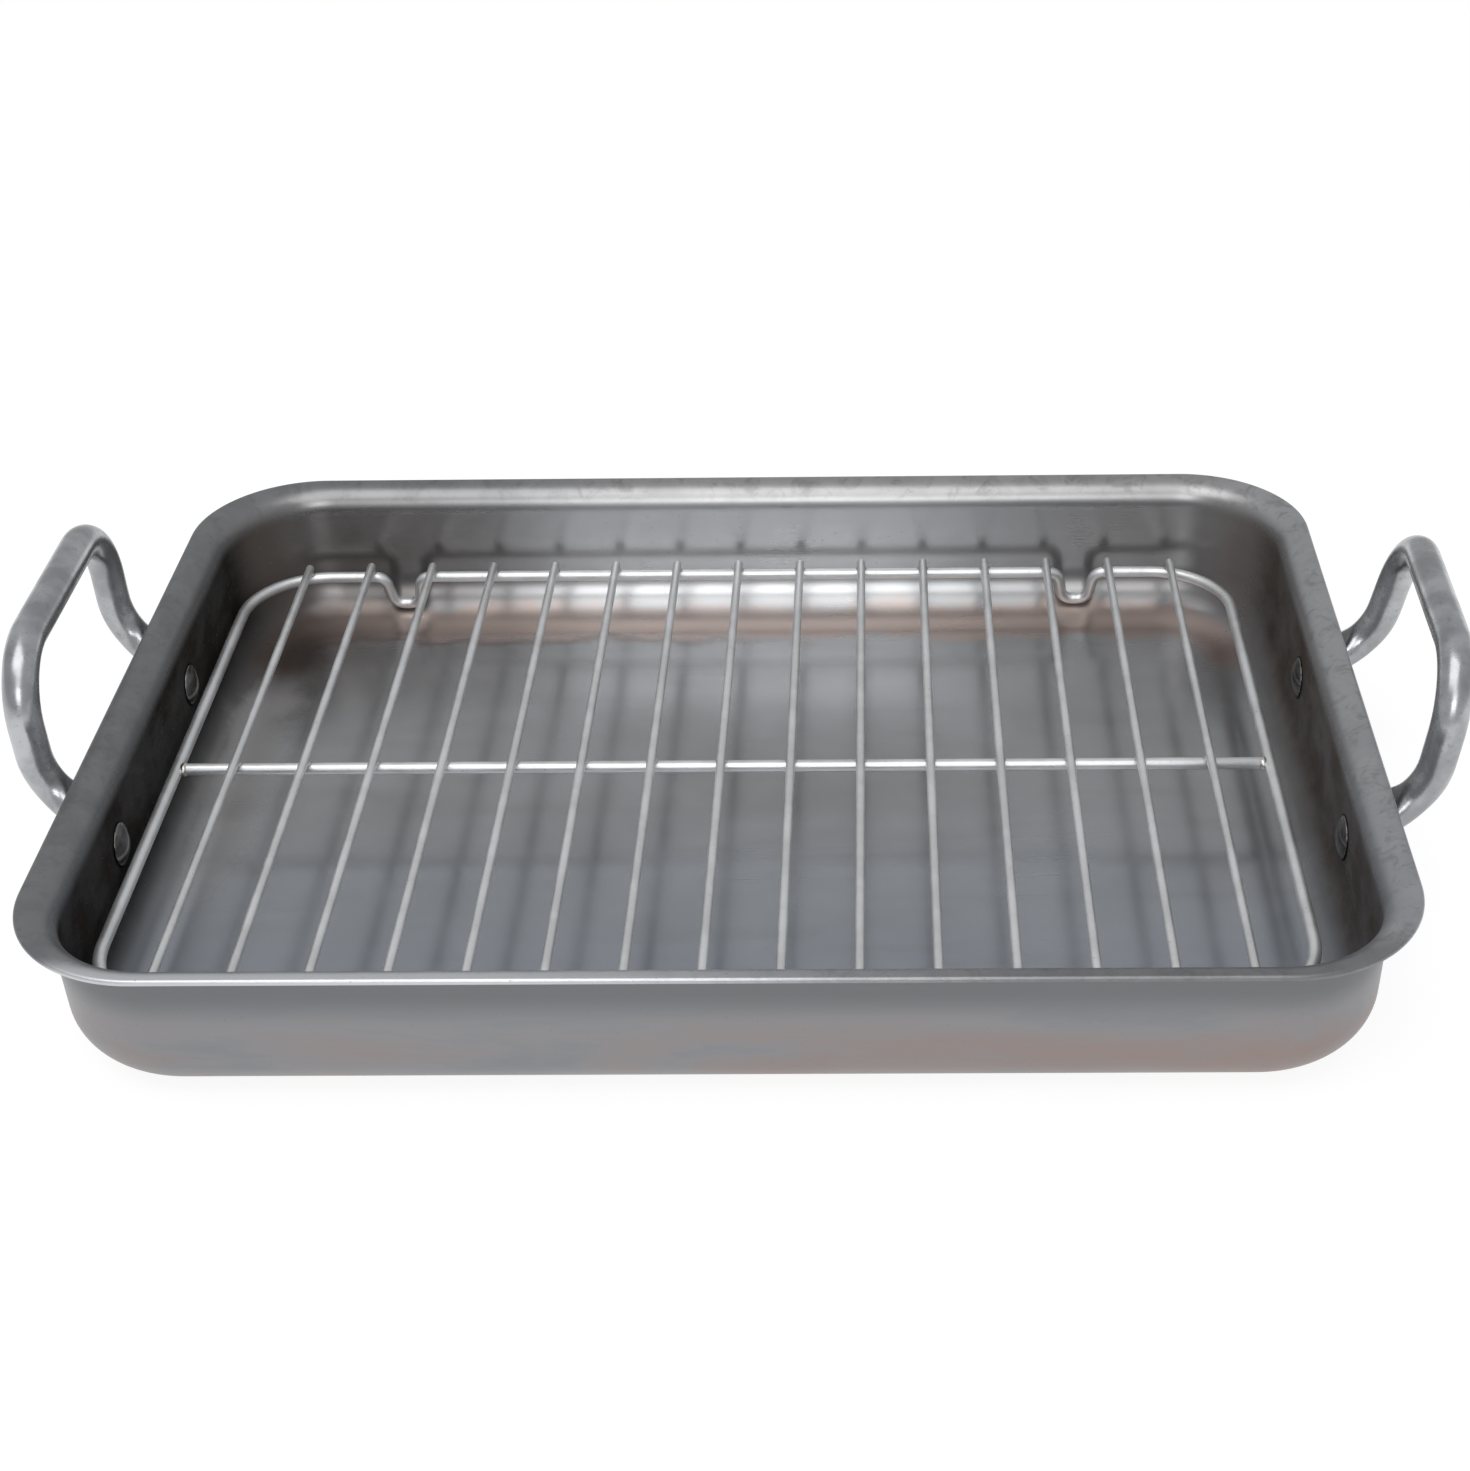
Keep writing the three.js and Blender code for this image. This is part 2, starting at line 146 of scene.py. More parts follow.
def loft(rings, ring_closed=False):
    rings = np.asarray(rings, float)
    rows, sides = rings.shape[:2]
    faces = []
    for row in range(rows if ring_closed else rows - 1):
        here = row * sides
        there = (row + 1) % rows * sides
        for i in range(sides):
            j = (i + 1) % sides
            faces.append((here + i, here + j, there + j, there + i))
    if not ring_closed:
        faces.append(tuple(reversed(range(sides))))
        faces.append(tuple(range((rows - 1) * sides, rows * sides)))
    return rings.reshape(-1, 3), faces


def bent_path(corners, closed=False):
    """Rounds the corners of a row of (point, radius).

    Two bends on one stretch divide it by their radii.
    """
    count = len(corners)
    points = []
    for i, (at, radius) in enumerate(corners):
        at = np.array(at, float)
        if not closed and i in (0, count - 1):
            points.append(at)
            continue
        before, before_radius = corners[(i - 1) % count]
        after, after_radius = corners[(i + 1) % count]
        to_before = np.array(before, float) - at
        to_after = np.array(after, float) - at
        back = unit(to_before)
        ahead = unit(to_after)
        half = math.acos(max(-1.0, min(1.0, float(back @ ahead)))) / 2
        share_before = np.linalg.norm(to_before) * radius / (radius + before_radius)
        share_after = np.linalg.norm(to_after) * radius / (radius + after_radius)
        bend = min(radius, min(share_before, share_after) * math.tan(half))
        centre = at + unit(back + ahead) * bend / math.sin(half)
        start = Vector(at + back * bend / math.tan(half) - centre)
        turn = math.pi - 2 * half
        axis = Vector(-np.cross(back, ahead)).normalized()
        steps = max(3, round(turn / BEND_ANGLE))
        for k in range(steps + 1):
            points.append(np.array(Matrix.Rotation(turn * k / steps, 3, axis) @ start) + centre)
    return points


def resampled(path, step):
    fine = [path[0]]
    for a, b in zip(path, path[1:]):
        pieces = max(1, round(np.linalg.norm(b - a) / step))
        fine += [a + (b - a) * (k + 1) / pieces for k in range(pieces)]
    return fine


def sweep(path, normal, outline_at, closed=False):
    """Carries an outline along a path.

    The twist that an open path puts in is given back between its first and last quarter.
    """
    count = len(path)
    normal = np.array(normal, float)
    carried = normal
    frames = []
    for i in range(count):
        before = path[(i - 1) % count if closed else max(i - 1, 0)]
        after = path[(i + 1) % count if closed else min(i + 1, count - 1)]
        tangent = unit(after - before)
        carried = unit(carried - tangent * (carried @ tangent))
        frames.append((carried, np.cross(tangent, carried)))
    across, side = frames[-1]
    turned = 0.0 if closed else math.atan2(normal @ side, normal @ across)
    rings = []
    for i, (point, (across, side)) in enumerate(zip(path, frames)):
        back = turned * smoothstep(i, count / 4, 3 * count / 4)
        outline = outline_at(i)
        x = outline[:, :1] * math.cos(back) - outline[:, 1:] * math.sin(back)
        y = outline[:, :1] * math.sin(back) + outline[:, 1:] * math.cos(back)
        rings.append(point + x * across + y * side)
    return loft(rings, closed)


def flattened(thickness, width, squareness, sides):
    angles = 2 * np.pi * np.arange(sides) / sides
    x = np.sign(np.cos(angles)) * np.abs(np.cos(angles)) ** (2 / squareness)
    y = np.sign(np.sin(angles)) * np.abs(np.sin(angles)) ** (2 / squareness)
    return np.stack([thickness / 2 * x, width / 2 * y], axis=1)


def lathe(section, sides):
    """Turns points of (radius, height along Y) about the Y axis."""
    angles = 2 * np.pi * np.arange(sides) / sides
    across = np.sin(angles)
    up = np.cos(angles)
    return loft([np.stack([r * across, np.full(sides, y), r * up], axis=1) for r, y in section])


def ellipsoid(centre, radii):
    angles = np.linspace(0, math.pi, WELD_ROWS)
    section = [(max(math.sin(a), WELD_TIP), -math.cos(a)) for a in angles]
    points, faces = lathe(section, WELD_SIDES)
    return np.array(centre) + points * np.array(radii), faces


def joined(shapes):
    points = []
    faces = []
    total = 0
    for shape_points, shape_faces in shapes:
        points.append(shape_points)
        faces += [tuple(i + total for i in face) for face in shape_faces]
        total += len(shape_points)
    return np.concatenate(points), faces


def moved(shape, matrix):
    points, faces = shape
    turned = np.array(matrix)
    return points @ turned[:3, :3].T + turned[:3, 3], faces


def piece(name, shape, material, body, nodes=()):
    points, faces = shape
    mesh = bpy.data.meshes.new(name)
    mesh.from_pydata([tuple(p) for p in points * MM], [], faces)
    mesh.validate()
    mesh.polygons.foreach_set("use_smooth", [True] * len(mesh.polygons))
    mesh.materials.append(material)
    made = bpy.data.objects.new(name, mesh)
    bpy.context.scene.collection.objects.link(made)
    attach(made, body)
    if nodes:
        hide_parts(*nodes)
    return made


# Materials
class Shader:
    """A principled material and a short way to add nodes to it."""

    def __init__(self, name):
        self.material = bpy.data.materials.new(name)
        self.material.use_nodes = True
        self.nodes = self.material.node_tree.nodes
        self.links = self.material.node_tree.links
        self.principled = self.nodes["Principled BSDF"]
        self.place = self.nodes.new("ShaderNodeTexCoord").outputs["Object"]
        split = self.nodes.new("ShaderNodeSeparateXYZ")
        self.links.new(self.place, split.inputs[0])
        self.x, self.y, self.z = split.outputs

    def attribute(self, name):
        node = self.nodes.new("ShaderNodeAttribute")
        node.attribute_name = name
        return node.outputs["Fac"]

    def plug(self, value, socket):
        if isinstance(value, bpy.types.NodeSocket):
            self.links.new(value, socket)
        else:
            socket.default_value = value

    def set(self, name, value):
        self.plug(value, self.principled.inputs[name])

    def noise(self, scale, detail, roughness, stretch=(1, 1, 1), warp=0.0):
        mapping = self.nodes.new("ShaderNodeMapping")
        self.links.new(self.place, mapping.inputs["Vector"])
        mapping.inputs["Scale"].default_value = stretch
        node = self.nodes.new("ShaderNodeTexNoise")
        self.links.new(mapping.outputs[0], node.inputs["Vector"])
        node.inputs["Scale"].default_value = scale
        node.inputs["Detail"].default_value = detail
        node.inputs["Roughness"].default_value = roughness
        node.inputs["Distortion"].default_value = warp
        return node.outputs["Fac"]

    def spread(self, value, low, high, to_low=0.0, to_high=1.0, smooth=True):
        node = self.nodes.new("ShaderNodeMapRange")
        node.interpolation_type = "SMOOTHSTEP" if smooth else "LINEAR"
        self.plug(value, node.inputs["Value"])
        node.inputs["From Min"].default_value = low
        node.inputs["From Max"].default_value = high
        node.inputs["To Min"].default_value = to_low
        node.inputs["To Max"].default_value = to_high
        return node.outputs["Result"]

    def math(self, operation, a, b=0.0):
        node = self.nodes.new("ShaderNodeMath")
        node.operation = operation
        self.plug(a, node.inputs[0])
        self.plug(b, node.inputs[1])
        return node.outputs[0]

    def times(self, first, *rest):
        for other in rest:
            first = self.math("MULTIPLY", first, other)
        return first

    def mix(self, amount, a, b):
        node = self.nodes.new("ShaderNodeMix")
        node.data_type = "RGBA"
        self.plug(amount, node.inputs[0])
        for value, socket in ((a, node.inputs[6]), (b, node.inputs[7])):
            self.plug(value if isinstance(value, bpy.types.NodeSocket) else (*value, 1.0), socket)
        return node.outputs[2]

    def layer(self, colour, tone, *masks):
        return self.mix(self.times(*masks), colour, tone)

    def bump(self, height, distance, strength, onto=None):
        node = self.nodes.new("ShaderNodeBump")
        self.links.new(height, node.inputs["Height"])
        node.inputs["Distance"].default_value = distance
        node.inputs["Strength"].default_value = strength
        if onto is not None:
            self.links.new(onto, node.inputs["Normal"])
        return node.outputs["Normal"]


# Tones of the pan's steel, of what is baked on it, and of light and shade painted on it
STEEL_DARK = (0.345, 0.350, 0.358)
STEEL_LIGHT = (0.400, 0.408, 0.420)
STEEL_BLUE = (0.348, 0.392, 0.470)
STREAK = (0.255, 0.255, 0.258)
LIP_GREY = (0.235, 0.238, 0.243)
LIP_REAR = (0.39, 0.378, 0.377)
LIP_BLOTCH = (0.43, 0.43, 0.435)
LIP_RIGHT = (0.46, 0.46, 0.475)
# painted shade: darkens the lip at its left end, and over its highlights at the front right and
# rear left
LIP_DIMMED = (0.150, 0.150, 0.152)
LIP_WORN = (0.150, 0.146, 0.143)
# painted highlight along the front edge of the lip
EDGE_HIGHLIGHT = (0.68, 0.685, 0.71)
GRAIN_DARK = (0.24, 0.245, 0.25)
HEAT_TINT = (0.42, 0.325, 0.285)
DRIP_BROWN = (0.20, 0.150, 0.125)
SOOT = (0.125, 0.102, 0.090)
LEFT_CRUST = (0.024, 0.021, 0.019)
RIGHT_CRUST = (0.050, 0.037, 0.030)
BACK_LEFT_STAIN = (0.125, 0.108, 0.100)
BACK_RIGHT_STAIN = (0.195, 0.178, 0.172)
# painted highlight: a paler middle of the back wall
BACK_WALL_SHEEN = (0.56, 0.56, 0.57)
# painted light: a pale strip on the floor along the left wall
FLOOR_EDGE_LIGHT = (0.255, 0.246, 0.243)
# painted shade: the outside is darkened for a dimmer reflection of the surface in front of it
OUTSIDE_DIM_REFLECTION = (0.255, 0.256, 0.262)
# painted shade under the lip's overhang
OUTSIDE_SHADE = (0.130, 0.130, 0.134)
SMUDGE = (0.318, 0.252, 0.232)
BOTTOM_BROWN = (0.24, 0.185, 0.165)
SMEAR_DARK = (0.205, 0.208, 0.216)
SPECK = (0.20, 0.19, 0.185)

# Tones of the other pieces
GRIP_DARK = (0.32, 0.325, 0.338)
GRIP_LIGHT = (0.51, 0.517, 0.535)
GRIP_PIT = (0.22, 0.215, 0.21)
RIVET_DARK = (0.13, 0.126, 0.123)
RIVET_LIGHT = (0.23, 0.228, 0.228)
WIRE_DARK = (0.66, 0.665, 0.665)
WIRE_LIGHT = (0.77, 0.778, 0.79)
WIRE_MARK = (0.34, 0.32, 0.30)
WELD_DARK = (0.52, 0.49, 0.45)
WELD_LIGHT = (0.70, 0.68, 0.65)


def base_tones(s, cloud):
    """Floor and walls: grey, bluer towards the front, with soft streaks."""
    streaks = s.noise(34, 4, 0.6, stretch=(0.25, 1.6, 1.6), warp=0.4)
    colour = s.mix(s.spread(cloud, 0.35, 0.65), STEEL_DARK, STEEL_LIGHT)
    colour = s.layer(colour, STEEL_BLUE, s.spread(s.y, 0.02, -0.12, 0.0, 0.5))
    return s.layer(colour, STREAK, s.spread(streaks, 0.48, 0.72), 0.25)


def lip_tones(s, colour, fold, lip, grain):
    """Lip: mottled and scratched, paler at the rear, with painted shade at its left end and over
    its highlights at the front right and rear left, and a painted highlight along the front edge's
    left.
    """
    patches = s.noise(75, 5, 0.62, warp=0.6)
    rear = s.times(lip, s.spread(s.y, 0.10, 0.14), s.spread(s.x, -0.14, 0.0, 0.25, 1.0))
    colour = s.layer(colour, LIP_GREY, lip, 0.6)
    colour = s.layer(colour, LIP_REAR, rear, 0.7)
    colour = s.layer(colour, LIP_BLOTCH, lip, s.spread(patches, 0.36, 0.64), 0.5)
    colour = s.layer(colour, LIP_RIGHT, lip, s.spread(s.x, 0.165, 0.19), 0.5)
    # painted shade: the lip is darker at the left end, and over its highlights at the front right
    # and the rear left
    dimmed_left_end = s.spread(s.x, -0.165, -0.19, 0.0, 0.55)
    dimmed_front_highlight = s.times(s.spread(s.x, -0.02, 0.12, 0.0, 0.55), s.spread(s.y, -0.125, -0.14))
    dimmed_rear_highlight = s.times(s.spread(s.x, -0.02, -0.12, 0.0, 0.5), s.spread(s.y, 0.12, 0.14))
    lip_dimming = s.math("MAXIMUM", dimmed_left_end, s.math("MAXIMUM", dimmed_front_highlight, dimmed_rear_highlight))
    colour = s.layer(colour, LIP_DIMMED, lip, lip_dimming)
    worn = s.spread(s.noise(130, 5, 0.7, warp=1.0), 0.48, 0.68)
    colour = s.layer(colour, LIP_WORN, lip, worn, 0.4)
    # painted highlight: a pale band along the lip's front edge, strongest on the left
    edge = s.times(s.spread(fold, -2.4, -1.2), s.spread(fold, 8.0, 3.0))
    front = s.spread(s.y, -0.138, -0.146)
    colour = s.layer(colour, EDGE_HIGHLIGHT, edge, front, s.spread(s.x, 0.08, -0.08, 0.0, 0.85))
    return s.layer(colour, GRAIN_DARK, s.spread(grain, 0.5, 0.8), 0.15)


def heat_tones(s, colour, fold, ragged):
    """Heat tint low on the rear bend, with ragged edges, and soot in the left rear corner."""
    behind = s.spread(s.y, 0.085, 0.100)
    tint = s.times(behind, s.spread(ragged, 51.0, 57.0), s.spread(ragged, 76.0, 67.0))
    colour = s.layer(colour, HEAT_TINT, tint, 0.8)
    drip = s.times(behind, s.spread(ragged, 70.0, 73.5), s.spread(ragged, 78.0, 74.0))
    colour = s.layer(colour, DRIP_BROWN, drip, s.spread(s.x, 0.04, -0.06), 0.5)
    corner = s.times(s.spread(s.y, 0.045, 0.105), s.spread(s.x, -0.115, -0.165))
    return s.layer(colour, SOOT, corner, s.spread(fold, 40.0, 58.0), 0.75)


def wall_stains_and_light(s, colour, fold, ragged):
    """Black and brown baked on the walls, a painted highlight in the middle of the back wall, and
    painted light as a pale strip along the floor's left edge.

    Gives the colour, and the mask of the stains and of the painted light strip, which are not
    metal.
    """
    inner = s.times(s.spread(fold, 8.0, 18.0), s.spread(fold, 66.0, 44.0))
    grime = s.spread(s.noise(35, 5, 0.65, stretch=(1, 1, 1.6)), 0.30, 0.70, 0.82, 1.0)
    left = s.times(inner, s.spread(s.x, -0.160, -0.180), s.spread(grime, 0.82, 1.0, 0.93, 1.0))
    colour = s.layer(colour, LEFT_CRUST, left)
    right = s.times(inner, s.spread(s.x, 0.160, 0.182), grime)
    colour = s.layer(colour, RIGHT_CRUST, right, 0.95)
    back = s.times(inner, s.spread(s.y, 0.110, 0.128))
    to_left = s.spread(s.x, -0.03, -0.14, 0.0, 0.8)
    colour = s.layer(colour, BACK_LEFT_STAIN, back, grime, to_left)
    colour = s.layer(colour, BACK_RIGHT_STAIN, back, s.spread(s.x, 0.06, 0.14, 0.0, 0.55))
    # painted highlight: the middle of the back wall is paler, standing for the key light's broad
    # reflection there
    sheen_middle = s.times(s.spread(s.x, -0.10, -0.05), s.spread(s.x, 0.09, 0.04), 0.7)
    colour = s.layer(colour, BACK_WALL_SHEEN, back, sheen_middle)
    # painted light: a pale, non-metallic strip that lightens the floor along the left wall
    light_strip = s.times(s.spread(ragged, 50.0, 60.0), s.spread(ragged, 84.0, 68.0))
    light_strip = s.times(light_strip, s.spread(s.x, -0.145, -0.165))
    light_strip = s.times(light_strip, s.spread(s.y, 0.100, 0.070), s.spread(s.y, -0.07, 0.02), 0.85)
    colour = s.layer(colour, FLOOR_EDGE_LIGHT, light_strip)
    nonmetal_mask = s.math("MAXIMUM", s.times(left, 0.97), s.times(right, 0.83))
    return colour, s.math("MAXIMUM", nonmetal_mask, light_strip)


def outside_tones(s, colour, fold, ragged, outside):
    """Outside: painted shade, darkening the whole outer wall for a dimmer reflection and more so
    under the lip, with brown smudges low down and to the right.
    """
    # painted shade: the outer wall is darker overall, and darker still just under the lip
    colour = s.layer(colour, OUTSIDE_DIM_REFLECTION, outside, 0.75)
    colour = s.layer(colour, OUTSIDE_SHADE, outside, s.spread(fold, -28.0, -15.0), 0.6)
    smears = s.noise(16, 5, 0.62, stretch=(0.6, 1.0, 2.4), warp=0.5)
    smudge = s.times(outside, s.spread(fold, -18.0, -38.0), s.spread(smears, 0.38, 0.60))
    colour = s.layer(colour, SMUDGE, smudge, s.spread(s.x, -0.10, 0.17, 0.55, 0.9))
    colour = s.layer(colour, BOTTOM_BROWN, outside, s.spread(ragged, -50.0, -58.0), 0.5)
    return s.layer(colour, SMEAR_DARK, outside, s.spread(smears, 0.50, 0.34), 0.35)


def pan_material():
    """Steel sheet, stained inside, with painted light and shade on its lip, walls and floor.

    Its fold attribute is how far a point lies from the lip's edge round the section, in
    millimetres, and is negative outside. Limits on x and y are metres in the pan's frame.
    """
    s = Shader("pan_steel")
    fold = s.attribute("fold")
    cloud = s.noise(14, 4, 0.6)
    grain = s.noise(120, 4, 0.7, stretch=(0.06, 6, 6))
    specks = s.noise(900, 2, 0.5)
    wander = s.spread(s.noise(30, 5, 0.65), 0.25, 0.75, -7.0, 7.0, False)
    ragged = s.math("ADD", fold, wander)
    lip = s.times(s.spread(fold, -1.6, -0.8), s.spread(fold, 16.0, 8.0))
    outside = s.spread(fold, -5.0, -9.0)

    colour = base_tones(s, cloud)
    colour = lip_tones(s, colour, fold, lip, grain)
    colour = heat_tones(s, colour, fold, ragged)
    colour, nonmetal_mask = wall_stains_and_light(s, colour, fold, ragged)
    colour = outside_tones(s, colour, fold, ragged, outside)
    s.set("Base Color", s.layer(colour, SPECK, s.spread(specks, 0.70, 0.76), 0.5))
    s.set("Metallic", s.spread(nonmetal_mask, 0.0, 1.0, 0.85, 0.0, False))
    s.set("Specular IOR Level", 0.0)

    clouded = s.spread(cloud, 0.3, 0.7, 0.20, 0.26)
    rough = s.math("ADD", clouded, s.spread(grain, 0.3, 0.8, 0.0, 0.025))
    rough = s.math("ADD", rough, s.times(s.math("ADD", lip, outside), 0.14))
    dulled = s.times(s.spread(s.y, 0.105, 0.125), s.spread(fold, 10.0, 18.0), 0.06)
    s.set("Roughness", s.math("ADD", rough, dulled))
    waves = s.bump(s.noise(9, 2, 0.4), 0.0011, 0.35)
    s.set("Normal", s.bump(grain, 0.00005, 0.09, waves))
    return s.material


def handle_material():
    s = Shader("handle_steel")
    cloud = s.noise(55, 4, 0.6)
    pits = s.noise(420, 3, 0.6)
    drawn = s.noise(160, 4, 0.7, stretch=(1, 0.08, 1))
    colour = s.mix(s.spread(cloud, 0.35, 0.68), GRIP_DARK, GRIP_LIGHT)
    s.set("Base Color", s.layer(colour, GRIP_PIT, s.spread(pits, 0.60, 0.72), 0.45))
    s.set("Metallic", 0.9)
    clouded = s.spread(cloud, 0.3, 0.7, 0.30, 0.22)
    s.set("Roughness", s.math("ADD", clouded, s.spread(drawn, 0.3, 0.8, 0.0, 0.05)))
    dents = s.bump(s.noise(70, 3, 0.5), 0.0007, 0.3)
    s.set("Normal", s.bump(pits, 0.00012, 0.35, dents))
    return s.material


def rivet_material():
    s = Shader("rivet_steel")
    cloud = s.noise(120, 4, 0.6)
    s.set("Base Color", s.mix(s.spread(cloud, 0.35, 0.65), RIVET_DARK, RIVET_LIGHT))
    s.set("Metallic", 1.0)
    s.set("Roughness", s.spread(cloud, 0.3, 0.7, 0.16, 0.26))
    s.set("Normal", s.bump(s.noise(160, 3, 0.5), 0.0003, 0.12))
    return s.material


def wire_material():
    s = Shader("rack_wire")
    cloud = s.noise(60, 4, 0.6)
    marks = s.noise(700, 3, 0.6)
    colour = s.mix(s.spread(cloud, 0.35, 0.65), WIRE_DARK, WIRE_LIGHT)
    s.set("Base Color", s.layer(colour, WIRE_MARK, s.spread(marks, 0.64, 0.74), 0.45))
    s.set("Metallic", 0.8)
    s.set("Roughness", s.spread(cloud, 0.3, 0.7, 0.36, 0.46))
    s.set("Normal", s.bump(marks, 0.00008, 0.3))
    return s.material


def weld_material():
    s = Shader("rack_weld")
    cloud = s.noise(500, 4, 0.6)
    s.set("Base Color", s.mix(s.spread(cloud, 0.35, 0.65), WELD_DARK, WELD_LIGHT))
    s.set("Metallic", 1.0)
    s.set("Roughness", s.spread(cloud, 0.3, 0.7, 0.28, 0.42))
    s.set("Normal", s.bump(cloud, 0.0004, 0.5))
    return s.material


pan_steel = pan_material()
handle_steel = handle_material()
rivet_steel = rivet_material()
rack_wire = wire_material()
rack_weld = weld_material()

# Pan: its section is (inset from the lip's edge, height)
bend_centre = (LIP_FLAT, PAN_HEIGHT - SHEET - LIP_BEND_RADIUS)
wall_top = (
    bend_centre[0] + LIP_BEND_RADIUS * math.cos(WALL_DRAFT),
    bend_centre[1] + LIP_BEND_RADIUS * math.sin(WALL_DRAFT),
)


def wall_inset(height):
    return wall_top[0] + (wall_top[1] - height) * math.tan(WALL_DRAFT)


fillet_top = BOTTOM_RADIUS * (1 - math.sin(WALL_DRAFT))
fillet_centre = (wall_inset(fillet_top) + BOTTOM_RADIUS * math.cos(WALL_DRAFT), BOTTOM_RADIUS)


def inner_inset(height):
    return wall_inset(height) + SHEET / math.cos(WALL_DRAFT)


FLOOR_INSETS = (1.0, 6.0, 20.0, 45.0, 75.0, 100.0, 116.0)
WALL_MARGIN = 0.6
LIP_MARGIN = 0.12


def pan_section():
    floor_edge = 1.5 * math.pi
    wall_side = math.pi + WALL_DRAFT
    lip_side = math.pi / 2
    outer_floor = [(fillet_centre[0] + inset, 0.0) for inset in FLOOR_INSETS]
    inner_floor = [(fillet_centre[0] + inset, SHEET) for inset in FLOOR_INSETS]
    low = fillet_top + WALL_MARGIN
    high = wall_top[1] - WALL_MARGIN
    flat = LIP_FLAT - LIP_MARGIN
    rounding = EDGE_ROUNDING
    return [
        *reversed(outer_floor),
        *arc(fillet_centre, BOTTOM_RADIUS, floor_edge, wall_side, FILLET_STEPS),
        (wall_inset(low), low),
        (wall_inset(high), high),
        *arc(bend_centre, LIP_BEND_RADIUS, WALL_DRAFT, lip_side, LIP_STEPS),
        (flat, PAN_HEIGHT - SHEET),
        *arc((rounding, PAN_HEIGHT - SHEET + rounding), rounding, floor_edge, math.pi, EDGE_STEPS),
        *arc((rounding, PAN_HEIGHT - rounding), rounding, math.pi, lip_side, EDGE_STEPS),
        (flat, PAN_HEIGHT),
        *arc(bend_centre, LIP_BEND_RADIUS + SHEET, lip_side, WALL_DRAFT, LIP_STEPS),
        (inner_inset(high), high),
        (inner_inset(low), low),
        *arc(fillet_centre, BOTTOM_RADIUS - SHEET, wall_side, floor_edge, FILLET_STEPS),
        *inner_floor,
    ]


STRAIGHT_STEPS = np.array([0.01, 0.05, 0.15, 0.3, 0.5, 0.7, 0.85, 0.95, 0.99])[:, None]


def pan_outline(inset, height):
    tightening = min(inset / fillet_centre[0], 1.0)
    radius = LIP_CORNER_RADIUS + (FLOOR_CORNER_RADIUS - LIP_CORNER_RADIUS) * tightening
    radius = max(radius - max(inset - fillet_centre[0], 0.0), 1.0)
    reach_x = PAN_LENGTH / 2 - inset - radius
    reach_y = PAN_WIDTH / 2 - inset - radius
    corners = []
    for quarter, (sign_x, sign_y) in enumerate([(1, 1), (-1, 1), (-1, -1), (1, -1)]):
        start = quarter * math.pi / 2
        centre = (sign_x * reach_x, sign_y * reach_y)
        corners.append(np.array(arc(centre, radius, start, start + math.pi / 2, CORNER_STEPS)))
    outline = []
    for here, after in zip(corners, corners[1:] + corners[:1]):
        outline += [here, here[-1] + (after[0] - here[-1]) * STRAIGHT_STEPS]
    flat = np.concatenate(outline)
    return np.column_stack([flat, np.full(len(flat), height)])


def fold_along(section):
    steps = np.linalg.norm(np.diff(section, axis=0), axis=1)
    along = np.concatenate([[0.0], np.cumsum(steps)])
    return along - along[np.argmin(section[:, 0])]


section = np.array(pan_section())
rings = [pan_outline(*point) for point in section]
shell = piece("pan_shell", loft(rings), pan_steel, "pan", ["pan_body"])
fold = shell.data.attributes.new("fold", "FLOAT", "POINT")
fold.data.foreach_set("value", np.repeat(fold_along(section), len(rings[0])))

# Handles and rivets
rivet_height = BOTTOM_RADIUS + RIVET_RISE
lug_face = SEAT_GAP + LUG_THICKNESS
ENDS = {
    "left": (math.pi, LEFT_LUG_SHIFT, LEFT_GRIP_SHIFT, LEFT_GRIP_LEAN, 0.0, 0.0),
    "right": (
        0.0, RIGHT_LUG_SHIFT, RIGHT_GRIP_SHIFT, RIGHT_GRIP_LEAN, RIGHT_GRIP_SAG, RIGHT_GRIP_SPLAY,
    ),
}
LEGS = {"front": -1, "rear": 1}


